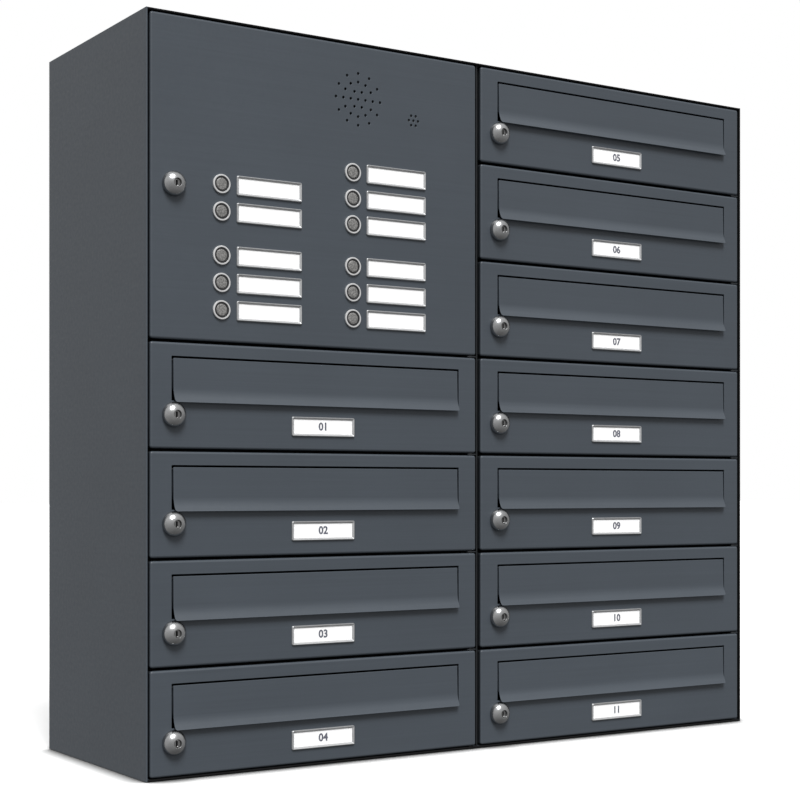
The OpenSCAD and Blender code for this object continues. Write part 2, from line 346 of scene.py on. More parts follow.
def zinc(name, colour):
    """Dull zinc plate: large soft spangles and drawn lines."""
    m = Nodes(name)
    spangle = m.cells(130.0)
    dark = tuple(c * 0.78 for c in colour)
    m.set(Base_Color=m.mix(m.span(spangle, 0, 1, 0.1, 0.8), colour, dark))
    m.set(Metallic=0.9)
    m.set(Roughness=m.span(m.noise(70.0, 4.0), 0.36, 0.58, 0.3, 0.7))
    m.bump((m.noise(1.0, 2.0, 0.5, stretch=(90, 1800, 1800)), 0.12, 0.00004))
    return m.material


def moulded(name, colour, rough=0.5, grain=1400.0, depth=0.2, gloss=0.5):
    """Moulded plastic or rubber with a fine eroded skin."""
    m = Nodes(name)
    m.set(Specular_IOR_Level=gloss)
    tone = m.span(m.noise(grain * 0.25, 3.0), 0, 1, 0.3, 0.7)
    light = tuple(c * 1.25 + 0.002 for c in colour)
    m.set(Base_Color=m.mix(tone, colour, light))
    m.set(Roughness=m.span(m.noise(grain, 2.0), rough - 0.07, rough + 0.1, 0.3, 0.7))
    m.bump((m.noise(grain, 3.0, 0.6), depth, 0.0001))
    return m.material


def paper(name, colour):
    """Matt white card with a little fibre."""
    m = Nodes(name)
    fibre = m.noise(1.0, 4.0, 0.7, stretch=(900, 900, 2600))
    shade = tuple(c * 0.965 for c in colour)
    m.set(Base_Color=m.mix(m.span(fibre, 0, 1, 0.35, 0.65), colour, shade))
    m.set(Roughness=0.7)
    m.bump((fibre, 0.12, 0.00003))
    return m.material


def clear_cover(name):
    """Thin clear plastic over a card, with faint hairlines."""
    m = Nodes(name)
    hairs = m.noise(1.0, 3.0, 0.7, stretch=(60, 60, 1500))
    m.set(Base_Color=m.mix(m.span(hairs, 0, 1, 0.4, 0.7), (0.9, 0.9, 0.9), (0.75, 0.76, 0.78)))
    m.set(Alpha=0.07)
    m.set(Roughness=m.span(hairs, 0.04, 0.14, 0.3, 0.7))
    m.bump((hairs, 0.05, 0.00002))
    return m.material


def grained_cap(name, colour):
    """Grey press cap with a coarse sandy face."""
    m = Nodes(name)
    sand = m.cells(1000.0)
    dark = tuple(c * 0.35 for c in colour)
    light = tuple(min(1.0, c * 1.9) for c in colour)
    m.set(Base_Color=m.mix(m.span(sand, 0, 1, 0.15, 0.75), dark, light))
    m.set(Metallic=0.35)
    m.set(Roughness=m.span(m.noise(900.0), 0.42, 0.62, 0.3, 0.7))
    m.bump((sand, 0.35, 0.0002))
    return m.material


def lacquered_board(name, colour):
    """Green board: lacquer over darker tracks."""
    m = Nodes(name)
    tracks = m.cells(420.0, "DISTANCE_TO_EDGE", stretch=(1, 1, 0.5))
    dark = tuple(c * 0.5 for c in colour)
    m.set(Base_Color=m.mix(m.span(tracks, 0, 1, 0.02, 0.10), colour, dark))
    m.set(Roughness=m.span(m.noise(90.0), 0.22, 0.38, 0.3, 0.7))
    m.bump((m.span(tracks, 1, 0, 0.02, 0.12), 0.25, 0.0001))
    return m.material


COAT = powder_coat("anthracite_powder_coat", (0.047, 0.057, 0.0695))
# the same coat, darker: painted shade for folded walls, shelves and the divider, which sit in the
# shadow of the gaps
PAINTED_SHADE_COAT = powder_coat("anthracite_powder_coat_painted_shade", (0.016, 0.019, 0.022))
FOLDED_SHEET = [COAT, PAINTED_SHADE_COAT]
DOME_STEEL = turned_metal("polished_lock_steel", (0.44, 0.445, 0.45), 0.17)
# darker than the dome: painted shade on the plug face that lies back in its recess
PLUG_STEEL_SHADED = turned_metal("lock_plug_steel_painted_shade", (0.27, 0.27, 0.27), 0.24)
RING_STEEL = turned_metal("turned_ring_steel", (0.78, 0.78, 0.78), 0.22, metal=0.6)
RIM_SILVER = turned_metal("window_rim_silver", (0.50, 0.505, 0.51), 0.34, 1500.0, metal=0.7)
# dark steel for the hinge rods and flap pins, as dark as the shaded gaps they show through
DARK_ROD_STEEL = turned_metal("dark_rod_steel", (0.05, 0.05, 0.052), 0.4, 900.0)
ZINC = zinc("zinc_plate", (0.42, 0.43, 0.44))
# near black: painted shade inside the key slot
KEYWAY_SHADE = moulded("keyway_painted_shade", (0.004, 0.004, 0.005), 0.7, gloss=0.2)
# near-black strips that paint the shade in gaps and on dark front edges
SHADE_BLACK = moulded("black_painted_shade", (0.0035, 0.0037, 0.004), 0.8, 900.0, gloss=0.12)
BLACK = moulded("black_moulding", (0.010, 0.010, 0.011), 0.45)
CONE = moulded("speaker_paper", (0.035, 0.033, 0.030), 0.85, 700.0, 0.5)
CARD = paper("white_card", (0.97, 0.97, 0.97))
INK = moulded("navy_ink", (0.008, 0.012, 0.045), 0.6)
COVER = clear_cover("clear_window_cover")
CAP = grained_cap("grained_press_cap", (0.15, 0.148, 0.144))
BOARD = lacquered_board("green_board", (0.012, 0.085, 0.035))
COPPER = turned_metal("tinned_contacts", (0.70, 0.62, 0.48), 0.25)


# ---- shapes ----


class Shape:
    """Points and faces of one piece, in millimetres."""

    def __init__(self):
        self.points = []
        self.faces = []

    def add(self, points, faces, slot=0):
        base = len(self.points)
        self.points += [tuple(p) for p in points]
        self.faces += [([base + i for i in face], slot) for face in faces]

    def loft(self, loops, slot=0, round_trip=False, skip=()):
        """Joins closed loops of equal length. round_trip joins the last to the first."""
        count = len(loops[0])
        points = [p for loop in loops for p in loop]
        faces = []
        for k in range(len(loops) if round_trip else len(loops) - 1):
            a, b = k * count, (k + 1) % len(loops) * count
            for i in range(count):
                if (k, i) in skip:
                    continue
                j = (i + 1) % count
                faces.append((a + i, a + j, b + j, b + i))
        self.add(points, faces, slot)

    def fill(self, loops, slot=0):
        """A flat face inside the first loop, less the others."""
        points = [Vector(p) for loop in loops for p in loop]
        groups = [[Vector(p) for p in loop] for loop in loops]
        self.add(points, tessellate_polygon(groups), slot)

    def solid(self, loops, slot=0):
        """A closed body: lofted loops with both ends filled."""
        self.loft(loops, slot)
        self.fill([loops[0]], slot)
        self.fill([loops[-1]], slot)

    def turn(self, profile, x, z, steps=ROUND_STEPS, closed=False):
        """Turns (radius, forward) points about the line along Y through x, z."""
        on_axis = 1e-4
        loops = [circle(x, z, max(r, on_axis), -forward, steps) for r, forward in profile]
        self.loft(loops, round_trip=closed)

    def along_x(self, outline, *stops):
        """A closed body: an outline of (y, z) points, carried along X from stop to stop."""
        self.solid([[(x, y, z) for y, z in outline] for x in stops])

    def along_z(self, outline, *stops):
        """A closed body: an outline of (x, y) points, carried along Z from stop to stop."""
        self.solid([[(x, y, z) for x, y in outline] for z in stops])


def ring(u, v, r, steps):
    """Points round a circle about u, v."""
    turns = [2 * pi * i / steps for i in range(steps)]
    return [(u + r * cos(a), v + r * sin(a)) for a in turns]


def half_turn(u, v, r, start, steps=8):
    """Points round half a circle about u, v, from the angle start on."""
    turns = [start + k * pi / steps for k in range(steps + 1)]
    return [(u + r * cos(a), v + r * sin(a)) for a in turns]


def bend(start, corner, end, steps):
    """Points of a smooth curve from start to end that is drawn towards corner."""
    points = []
    for k in range(steps + 1):
        s = k / steps
        points.append((1 - s) ** 2 * start + 2 * s * (1 - s) * corner + s**2 * end)
    return points


def circle(x, z, r, y, steps=ROUND_STEPS):
    """A circle that faces the front."""
    return [(px, y, pz) for px, pz in ring(x, z, r, steps)]


def rounded(x0, z0, x1, z1, r, y, steps=CORNER_STEPS):
    """A rectangle with round corners, from the lower right corner on."""
    r = max(r, 0.02)
    centres = [(x1 - r, z0 + r), (x1 - r, z1 - r), (x0 + r, z1 - r), (x0 + r, z0 + r)]
    points = []
    for quarter, (cx, cz) in enumerate(centres):
        for i in range(steps + 1):
            a = (quarter - 1 + i / steps) * pi / 2
            points.append((cx + r * cos(a), y, cz + r * sin(a)))
    return points


def finish_piece(name, shape, materials, body, origin=(0, 0, 0), stands_for=()):
    """Makes the Blender object of a shape, on its CAD body."""
    mesh = bpy.data.meshes.new(name)
    offset = Vector(origin)
    points = [(Vector(p) + offset) * MM for p in shape.points]
    mesh.from_pydata(points, [], [face for face, _ in shape.faces])
    for polygon, (_, number) in zip(mesh.polygons, shape.faces):
        polygon.material_index = number
    for material in materials:
        mesh.materials.append(material)
    work = bmesh.new()
    work.from_mesh(mesh)
    bmesh.ops.remove_doubles(work, verts=work.verts, dist=2e-6)
    bmesh.ops.dissolve_degenerate(work, edges=work.edges, dist=1e-7)
    bmesh.ops.recalc_face_normals(work, faces=work.faces)
    work.to_mesh(mesh)
    work.free()
    mesh.shade_smooth()
    mesh.set_sharp_from_angle(angle=radians(31))
    piece = bpy.data.objects.new(name, mesh)
    bpy.context.scene.collection.objects.link(piece)
    weights = piece.modifiers.new("weights", "WEIGHTED_NORMAL")
    weights.keep_sharp = True
    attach(piece, body)
    if stands_for:
        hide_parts(*stands_for)


def block(shape, x0, y0, z0, x1, y1, z1, r=0.3):
    """A small box from one corner to the other, with round edges along Y."""
    shape.solid([rounded(x0, z0, x1, z1, r, y, 2) for y in (y0, y1)])


def bar(shape, x, z, r, y0, y1, steps=32, ease=EASE):
    """A round bar along Y with eased ends."""
    half = [(0, 0), (r - ease, 0), (r, ease)]
    profile = [(radius, -y0 - inset) for radius, inset in half]
    profile += [(radius, -y1 + inset) for radius, inset in reversed(half)]
    shape.turn(profile, x, z, steps)


def hexagon(x, z, r, y, limit=None):
    """Points round a hexagon of corner radius r, no further out than limit."""
    points = []
    flat = r * cos(pi / 6)
    for i in range(ROUND_STEPS):
        a = 2 * pi * i / ROUND_STEPS
        reach = flat / cos((a % (pi / 3)) - pi / 6)
        if limit:
            reach = min(reach, limit)
        points.append((x + reach * cos(a), y, z + reach * sin(a)))
    return points


def nut(shape, x, z, r, bore, y0, y1):
    """A hexagon nut with chamfered corners, on a bore."""
    flat = r * cos(pi / 6)
    ease = 0.18 * (y1 - y0)
    loops = [
        circle(x, z, bore, y0),
        hexagon(x, z, r, y0, limit=flat),
        hexagon(x, z, r, y0 + ease),
        hexagon(x, z, r, y1 - ease),
        hexagon(x, z, r, y1, limit=flat),
        circle(x, z, bore, y1),
    ]
    shape.loft(loops, round_trip=True)


def thread(r, start, end, pitch=1.0, depth=0.35):
    """(radius, forward) points of a thread's outline, from start back to end."""
    turns = int((start - end) / pitch)
    points = []
    for k in range(turns):
        points.append((r, start - k * pitch))
        points.append((r - depth, start - (k + 0.5) * pitch))
    return points + [(r, end)]


def pan(shape, width, height, cutouts):
    """A folded sheet front, open at the back. Each cutout gives its outline, grown, at a depth."""

    def outline(inset, y):
        return rounded(inset, inset, width - inset, height - inset, CORNER_R - inset, y)

    turns = [k * pi / 2 / FOLD_STEPS for k in range(FOLD_STEPS + 1)]
    outer = [outline(FOLD_R * (1 - sin(a)), FOLD_R * (1 - cos(a))) for a in turns]
    rim = [
        outline(0, PAN_D - CHAMFER),
        outline(CHAMFER, PAN_D),
        outline(DOOR_T - CHAMFER, PAN_D),
        outline(DOOR_T, PAN_D - CHAMFER),
    ]
    inner = [
        outline(DOOR_T + INNER_FOLD_R * (1 - cos(a)), DOOR_T + INNER_FOLD_R * (1 - sin(a)))
        for a in turns
    ]
    outer_wall = (outer[-1], rim[0])
    inner_wall = (rim[-1], inner[0])
    top = 2 * (CORNER_STEPS + 1) - 1
    bottom = 4 * (CORNER_STEPS + 1) - 1
    shape.loft(outer)
    shape.loft(rim)
    shape.loft(inner)
    for wall in (outer_wall, inner_wall):
        shape.loft(wall, WALLS, skip=[(0, top), (0, bottom)])
    for edge, sheet in ((top, (height, height - DOOR_T)), (bottom, (0, DOOR_T))):
        holes = []
        for z, (near, far) in zip(sheet, (outer_wall, inner_wall)):
            rod = ring(width - ROD_IN, ROD_IN, ROD_HOLE_R, ROD_HOLE_STEPS)
            hole = [(x, y, z) for x, y in rod]
            follows = (edge + 1) % len(near)
            shape.fill([[near[edge], near[follows], far[follows], far[edge]], hole], WALLS)
            holes.append(hole)
        shape.loft(holes, WALLS)
    front = [cut(CHAMFER, 0) for cut in cutouts]
    back = [cut(0, DOOR_T) for cut in cutouts]
    shape.fill([outer[0]] + front)
    shape.fill([inner[-1]] + back)
    for cut, start, end in zip(cutouts, front, back):
        shape.loft([start, cut(0, CHAMFER), end])


def round_cut(x, z, r, steps=ROUND_STEPS):
    return lambda grow, y: circle(x, z, r + grow, y, steps)


def slot_cut(grow, y):
    right, top = SLOT_X + SLOT_W, SLOT_Z + SLOT_H
    r = SLOT_CORNER_R + grow
    return rounded(SLOT_X - grow, SLOT_Z - grow, right + grow, top + grow, r, y)


def ear(shape, x, z):
    """The lug behind the sheet that carries one end of a flap's pin."""
    half = EAR_D / 2
    root = DOOR_T - 0.2
    outline = [(root, z + half), (root, z - half)] + half_turn(EAR_D - half, z, half, -pi / 2)
    hole = ring(PIN_Y, z, EAR_HOLE_R, PIN_STEPS)
    sides = []
    for side in (x, x + EAR_T):
        sides.append([[(side, y, h) for y, h in loop] for loop in (outline, hole)])
    for left, right in zip(*sides):
        shape.loft([left, right])
    for loops in sides:
        shape.fill(loops)


def lock_dome(shape):
    """Domed cover and threaded barrel, with the plug's bore, at the origin."""
    bore = PLUG_R + PLUG_PLAY
    crown_r = bore + 0.35
    back = -CAM_Y + 0.2
    dome = []
    for k in range(DOME_STEPS + 1):
        r = crown_r + (DOME_R - crown_r) * sin(k * pi / 2 / DOME_STEPS)
        share = sqrt(max(0.0, 1 - (r / DOME_R) ** 2))
        dome.append((r, DOME_RIM + (DOME_H - DOME_RIM) * share))
    crown = dome[0][1]
    profile = [(bore, back), (bore, crown - 0.3), (bore + 0.1, crown - 0.08)]
    profile += dome
    profile += [(DOME_R, EASE), (DOME_R - EASE, STAND_OFF), (BARREL_R, STAND_OFF)]
    profile += thread(BARREL_R, -DOOR_T - LOCK_NUT_T - 0.2, back + 0.5)
    profile += [(BARREL_R - 0.5, back)]
    shape.turn(profile, 0, 0, closed=True)


def lock_plug(shape):
    """Cylinder with a key slot in its face and a hexagon screw at its back end."""
    front = -DOME_H + PLUG_IN
    back = CAM_Y + CAM_T
    end = back + SCREW_H
    ease = 0.25

    def key_slot(grow, y):
        w, h = KEY_SLOT_W / 2 + grow, KEY_SLOT_H / 2 + grow
        return rounded(-w, -h, w, h, KEY_SLOT_R, y)

    loops = [
        circle(0, 0, PLUG_R - ease, front),
        circle(0, 0, PLUG_R, front + ease),
        circle(0, 0, PLUG_R, back),
        hexagon(0, 0, PLUG_R, back),
        hexagon(0, 0, PLUG_R, end - EASE),
        hexagon(0, 0, PLUG_R, end, limit=PLUG_R * 0.86),
    ]
    shape.loft(loops)
    shape.fill([loops[-1]])
    shape.fill([loops[0], key_slot(ease, front)])
    shape.loft([key_slot(ease, front), key_slot(0, front + ease)])
    floor_y = front + KEY_SLOT_D
    # the slot's walls and floor take the second material, near black, as painted shade
    shape.loft([key_slot(0, front + ease), key_slot(0, floor_y)], slot=1)
    shape.fill([key_slot(0, floor_y)], slot=1)


def lock_cam(shape):
    """The flat tongue that hangs from the cylinder and turns behind the strike."""

    def outline(inset, y):
        half = CAM_W / 2 - inset
        foot = -CAM_LEN + inset
        corner = [(half, CAM_CORNER), (half - 0.3 * CAM_CORNER, 0.3 * CAM_CORNER)]
        corner += [(half - CAM_CORNER, 0)]
        points = half_turn(0, 0, half, 0, 16)
        points += [(-x, foot + rise) for x, rise in corner]
        points += [(x, foot + rise) for x, rise in reversed(corner)]
        return [(x, y, z) for x, z in points]

    back = CAM_Y + CAM_T
    depths = ((EASE, CAM_Y), (0, CAM_Y + EASE), (0, back - EASE), (EASE, back))
    shape.solid([outline(inset, y) for inset, y in depths])


def window_outline(x, z, inset, r, forward):
    right, top = x + WINDOW_W - inset, z + WINDOW_H - inset
    return rounded(x + inset, z + inset, right, top, r, -forward)


def window_rim(shape, x, z):
    """Bevelled frame round a name card, with its lower left corner at x, z."""
    profile = [
        (0, STAND_OFF),
        (0, 1.1),
        (0.08, 1.3),
        (0.65, WINDOW_T - 0.05),
        (0.75, WINDOW_T),
        (0.9, WINDOW_T),
        (1.05, WINDOW_T - 0.08),
        (WINDOW_RIM - 0.05, 0.75),
        (WINDOW_RIM, 0.6),
        (WINDOW_RIM, STAND_OFF),
    ]
    loops = []
    for inset, forward in profile:
        loops.append(window_outline(x, z, inset, max(WINDOW_R - inset, 0.5), forward))
    shape.loft(loops, round_trip=True)


def window_card(shape, x, z):
    inset = WINDOW_RIM - 0.02
    shape.solid([window_outline(x, z, inset, 0.4, forward) for forward in (CARD_FORWARD, 0.15)])


def window_cover(shape, x, z):
    inset = WINDOW_RIM - 0.01
    profile = ((inset + 0.1, 0.72), (inset, 0.62), (inset, 0.52))
    shape.solid([window_outline(x, z, i, 0.45, forward) for i, forward in profile])


def flap_sheet(shape, width):
    """Leaning face and flared lip from one sheet, with folded ends, from its top left corner."""
    crease = Vector((-FLAP_LEAN, -FLAP_FACE_H))
    up = Vector((FLAP_LEAN / FLAP_FACE_H, 1.0))
    whole_lip = Vector((-FLAP_LIP_OUT, FLAP_FACE_H - FLAP_H))
    down = whole_lip.normalized()

    def profile(cut, inset):
        """(y, z) points round the sheet, its lip shorter by cut and its outline by inset."""
        lip = whole_lip * (1 - cut / (FLAP_H - FLAP_FACE_H))
        reach = min(FLAP_CREASE, lip.length * 0.8)
        end = crease + lip - down * inset
        front = [Vector((0.0, -EASE - inset))]
        front += bend(crease + up * reach, crease, crease + down * reach, CREASE_STEPS)
        front += [end - down * EASE]
        loop = [(EASE, -inset)]
        loop += [(p.x + inset, p.y) for p in front]
        loop += [(end.x + EASE, end.y), (end.x + FLAP_T - EASE, end.y)]
        loop += [(p.x + FLAP_T - inset, p.y) for p in reversed(front)]
        return loop + [(FLAP_T - EASE, -inset)]

    marks = [(0.0, EASE), (EASE, 0.0)]
    marks += [(FLAP_LIP_R * (1 - cos(radians(a))), 0.0) for a in (30, 45, 60, 75, 90)]
    loops = []
    for x, inset in marks + [(width - x, inset) for x, inset in reversed(marks)]:
        over = max(0.0, FLAP_LIP_R - min(x, width - x))
        cut = FLAP_LIP_R - sqrt(FLAP_LIP_R**2 - over**2)
        loops.append([(x, y, z) for y, z in profile(min(cut, FLAP_LIP_R * 0.94), inset)])
    shape.solid(loops)
    fold = [(0.9, -0.6), (4.6, -0.6), (5.2, -1.4), (5.2, -5.0), (1.6, -32.2), (1.0, -33.0)]
    fold += [(-0.4, -33.0)]
    for x in (0.05, width - FLAP_T + 0.05):
        shape.along_x(fold, x, x + FLAP_T - 0.1)


def flap_pin(shape, length):
    """The round pin that a flap turns on, along X from the origin."""
    stations = [(0.0, PIN_R - EASE), (EASE, PIN_R), (length - EASE, PIN_R), (length, PIN_R - EASE)]
    shape.solid([[(x, y, z) for y, z in ring(0, 0, r, PIN_STEPS)] for x, r in stations])


def number_shape(text):
    """A number as a thin mesh that faces the front, centred on the origin."""
    capital_share = 0.7
    boldness = 0.05
    depth = 0.03
    curve = bpy.data.curves.new("number", "FONT")
    curve.body = text
    curve.size = NUMBER_H * MM / capital_share
    curve.align_x = "CENTER"
    curve.align_y = "CENTER"
    curve.extrude = depth * MM / 2
    curve.offset = NUMBER_H * MM * boldness
    curve.resolution_u = 4
    holder = bpy.data.objects.new("number", curve)
    bpy.context.scene.collection.objects.link(holder)
    bpy.context.view_layer.update()
    seen = holder.evaluated_get(bpy.context.evaluated_depsgraph_get())
    mesh = bpy.data.meshes.new_from_object(seen)
    shape = Shape()
    points = [(v.co.x / MM, -v.co.z / MM, v.co.y / MM) for v in mesh.vertices]
    shape.add(points, [tuple(p.vertices) for p in mesh.polygons])
    bpy.data.objects.remove(holder)
    bpy.data.curves.remove(curve)
    bpy.data.meshes.remove(mesh)
    return shape


# ---- where the CAD parts are, in millimetres ----


def box_mm(node):
    low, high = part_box(node)
    return low / MM, high / MM


left_plate = box_mm("casing_side_left")
right_plate = box_mm("casing_side_right")
top_plate = box_mm("casing_top")
bottom_plate = box_mm("casing_bottom")
FRONT = left_plate[0].y
door_boxes = {n: box_mm(f"door_{n:02d}") for n in DOORS}
DOOR_W = door_boxes[1][1].x - door_boxes[1][0].x
DOOR_H = door_boxes[1][1].z - door_boxes[1][0].z
panel_box = box_mm("intercom_panel")
PANEL_H = panel_box[1].z - panel_box[0].z
PANEL_AT = Vector((panel_box[0].x, FRONT, panel_box[0].z))


def door_at(n):
    low = door_boxes[n][0]
    return Vector((low.x, FRONT, low.z))


def lock_at(n):
    low, high = box_mm(f"lock_cylinder_{n:02d}")
    return Vector(((low.x + high.x) / 2, FRONT, high.z - CAM_W / 2))


def bell_at(n):
    low, high = box_mm(f"bell_button_{n:02d}")
    return Vector(((low.x + high.x) / 2, FRONT, (low.z + high.z) / 2))


def middle(node):
    low, high = box_mm(node)
    return (low + high) / 2


# ---- casing ----


def casing_piece(name, shape, material=COAT, stands_for=()):
    finish_piece(name, shape, [material], "casing", stands_for=stands_for)


def side_plate(name, plate, trimmed):
    """A side of the casing with a rounded front edge, set back where the black strip of painted
    shade covers it.
    """
    low, high = plate
    nose = (high.x - low.x) / 2
    centre = low.x + nose
    start = low.y + (SHADE_STRIP_D if trimmed else 0.0)
    outline = half_turn(centre, start + nose, nose, pi)
    outline += [(high.x, high.y - EASE), (high.x - EASE, high.y)]
    outline += [(low.x + EASE, high.y), (low.x, high.y - EASE)]
    narrow = [(x + (centre - x) * 0.3, y) for x, y in outline]
    ease = 0.4
    ends = ((narrow, low.z), (outline, low.z + ease), (outline, high.z - ease), (narrow, high.z))
    shape = Shape()
    shape.solid([[(x, y, z) for x, y in loop] for loop, z in ends])
    casing_piece(name + "_sheet", shape, stands_for=[name])


def level_plate(name, plate):
    """The casing's top or bottom sheet, between its sides and behind the black strip of painted
    shade.
    """
    low, high = plate
    nose = (high.z - low.z) / 2
    outline = half_turn(low.y + SHADE_STRIP_D + nose, low.z + nose, nose, pi / 2)
    outline += [(high.y - EASE, low.z), (high.y, low.z + EASE)]
    outline += [(high.y, high.z - EASE), (high.y - EASE, high.z)]
    shape = Shape()
    shape.along_x(outline, low.x, high.x)
    casing_piece(name + "_sheet", shape, stands_for=[name])


def strip_outline(front, back, low, high, corner):
    """(depth, width) points round a strip whose two front corners are cut."""
    deep, wide = corner
    outline = [(front, low + wide), (front + deep, low), (back, low)]
    return outline + [(back, high), (front + deep, high), (front, high - wide)]


def edge_shade_strip():
    """Black strip on the front edges of the top, right and bottom sheets: painted shade that makes
    these edges as dark as the gaps beside them.
    """
    shape = Shape()
    in_box = 0.02
    front, back = FRONT + 0.05, FRONT + SHADE_STRIP_D + SHADE_STRIP_LAP
    for low, high in (top_plate, bottom_plate):
        outline = strip_outline(front, back, low.z + in_box, high.z - in_box, SHADE_STRIP_CUT)
        shape.along_x(outline, low.x + in_box, high.x - in_box)
    low, high = right_plate
    outline = strip_outline(front, back, low.x + in_box, high.x - in_box, SHADE_STRIP_CUT)
    shape.along_z([(x, y) for y, x in outline], low.z + in_box, high.z - in_box)
    casing_piece("casing_edge_shade_strip", shape, SHADE_BLACK)


def divider():
    """The wall between the columns, with a narrow bead between two black strips at its front; wall
    and bead take the darker coat, and with the strips they paint the shade of the gap between the
    columns.
    """
    low, high = box_mm("column_divider")
    centre = (low.x + high.x) / 2
    nose = (high.x - low.x) / 2 - STRIP_W
    wall_y = low.y + STRIP_W
    bead_y = wall_y + 1.0
    bead, wall, strips = Shape(), Shape(), Shape()
    outline = half_turn(centre, low.y + nose, nose, pi)
    outline += [(centre + nose, bead_y), (centre - nose, bead_y)]
    bead.along_z(outline, low.z, high.z)
    outline = [(low.x, wall_y), (high.x, wall_y), (high.x, high.y), (low.x, high.y)]
    wall.along_z(outline, low.z, high.z)
    front, back = low.y + 0.1, low.y + STRIP_D
    for side in (-1, 1):
        inner, outer = centre + side * nose, centre + side * (nose + STRIP_W + STRIP_T)
        outline = [(inner, front), (outer, front + EASE), (outer, back), (inner, back)]
        strips.along_z(outline, low.z, high.z)
    casing_piece("column_divider_sheet", wall, PAINTED_SHADE_COAT, ["column_divider"])
    casing_piece("column_divider_bead", bead, PAINTED_SHADE_COAT)
    casing_piece("column_divider_strips", strips, SHADE_BLACK)


def gap_strips():
    """Black strips behind the gaps above and below the doors, as painted shade in the gaps."""
    shape = Shape()
    column_low, column_high = box_mm("column_divider")
    half = GAP_Z / 2 - 0.1
    play = 0.2
    front = FRONT + GAP_STRIP_Y
    back = front + GAP_STRIP_D
    for start, end in ((left_plate[1].x, column_low.x), (column_high.x, right_plate[0].x)):
        fronts = [box for box in [*door_boxes.values(), panel_box] if start < box[0].x < end]
        gaps = [low.z - GAP_Z / 2 for low, _ in fronts]
        gaps += [high.z + GAP_Z / 2 for _, high in fronts]
        for z in sorted(set(round(z, 3) for z in gaps)):
            outline = strip_outline(front, back, z - half, z + half, GAP_STRIP_CUT)
            shape.along_x(outline, start + play, end - play)
    casing_piece("casing_gap_strips", shape, SHADE_BLACK)


side_plate("casing_side_left", left_plate, False)
side_plate("casing_side_right", right_plate, True)
level_plate("casing_top", top_plate)
level_plate("casing_bottom", bottom_plate)
edge_shade_strip()
divider()
gap_strips()

# ---- letter box doors, flaps and locks ----

door_shape = Shape()
pan(door_shape, DOOR_W, DOOR_H, [slot_cut, round_cut(LOCK_X, LOCK_Z, BARREL_R + 0.05)])
pin_z = SLOT_Z + SLOT_H - FLAP_GAP - PIN_DROP
ear(door_shape, SLOT_X - EAR_OFF - EAR_T, pin_z)
ear(door_shape, SLOT_X + SLOT_W + EAR_OFF, pin_z)

flap_box = box_mm("flap_01")
flap_width = flap_box[1].x - flap_box[0].x - 2 * PIN_PAST
flap_shape = Shape()
flap_sheet(flap_shape, flap_width)
pin_shape = Shape()
flap_pin(pin_shape, flap_box[1].x - flap_box[0].x)

dome_shape, lock_nut_shape, plug_shape, cam_shape = Shape(), Shape(), Shape(), Shape()
lock_dome(dome_shape)
nut(lock_nut_shape, 0, 0, LOCK_NUT_R, BARREL_R - 0.4, DOOR_T + 0.1, DOOR_T + LOCK_NUT_T)
lock_plug(plug_shape)
lock_cam(cam_shape)

window_x = (DOOR_W - WINDOW_W) / 2
rim_shape, card_shape, cover_shape = Shape(), Shape(), Shape()
window_rim(rim_shape, window_x, WINDOW_Z)
window_card(card_shape, window_x, WINDOW_Z)
window_cover(cover_shape, window_x, WINDOW_Z)

for n in DOORS:
    door, flap = f"door_{n:02d}", f"flap_{n:02d}"
    at = door_at(n)
    finish_piece(door + "_sheet", door_shape, FOLDED_SHEET, door, at, [door])
    finish_piece(door + "_window_rim", rim_shape, [RIM_SILVER], door, at)
    finish_piece(door + "_card", card_shape, [CARD], door, at)
    finish_piece(door + "_cover", cover_shape, [COVER], door, at)
    number = number_shape(f"{n:02d}")
    number_at = at + Vector((DOOR_W / 2, -CARD_FORWARD - STAND_OFF, WINDOW_Z + WINDOW_H / 2))
    finish_piece(door + "_number", number, [INK], door, number_at)
    flap_low, flap_high = box_mm(flap)
    hinge = Vector((flap_low.x, FRONT + PIN_Y, flap_high.z - PIN_DROP))
    corner = Vector((flap_low.x + PIN_PAST, FRONT, flap_high.z))
    finish_piece(flap + "_sheet", flap_shape, [COAT], flap, corner, [flap])
    finish_piece(flap + "_pin", pin_shape, [DARK_ROD_STEEL], flap, hinge)

for n in LOCKS:
    lock = f"lock_cylinder_{n:02d}"
    holder = "bell_panel" if n == PANEL_LOCK else f"door_{n:02d}"
    at = lock_at(n)
    finish_piece(f"{holder}_lock_dome", dome_shape, [DOME_STEEL], holder, at)
    finish_piece(f"{holder}_lock_nut", lock_nut_shape, [ZINC], holder, at)
    steels = [PLUG_STEEL_SHADED, KEYWAY_SHADE]
    finish_piece(f"lock_{n:02d}_plug", plug_shape, steels, lock, at, [lock])
    finish_piece(f"lock_{n:02d}_cam", cam_shape, [ZINC], lock, at)

# ---- bell and speech panel ----


def speech_holes():
    speaker = middle("door_speaker") - PANEL_AT
    mic = middle("microphone") - PANEL_AT
    holes = [(speaker.x, speaker.z), (mic.x, mic.z)] + ring(mic.x, mic.z, MIC_RING, 6)
    for k, count in ((1, 6), (2, 12), (3, 12)):
        holes += ring(speaker.x, speaker.z, k * SPEAKER_RING, count)
    return holes


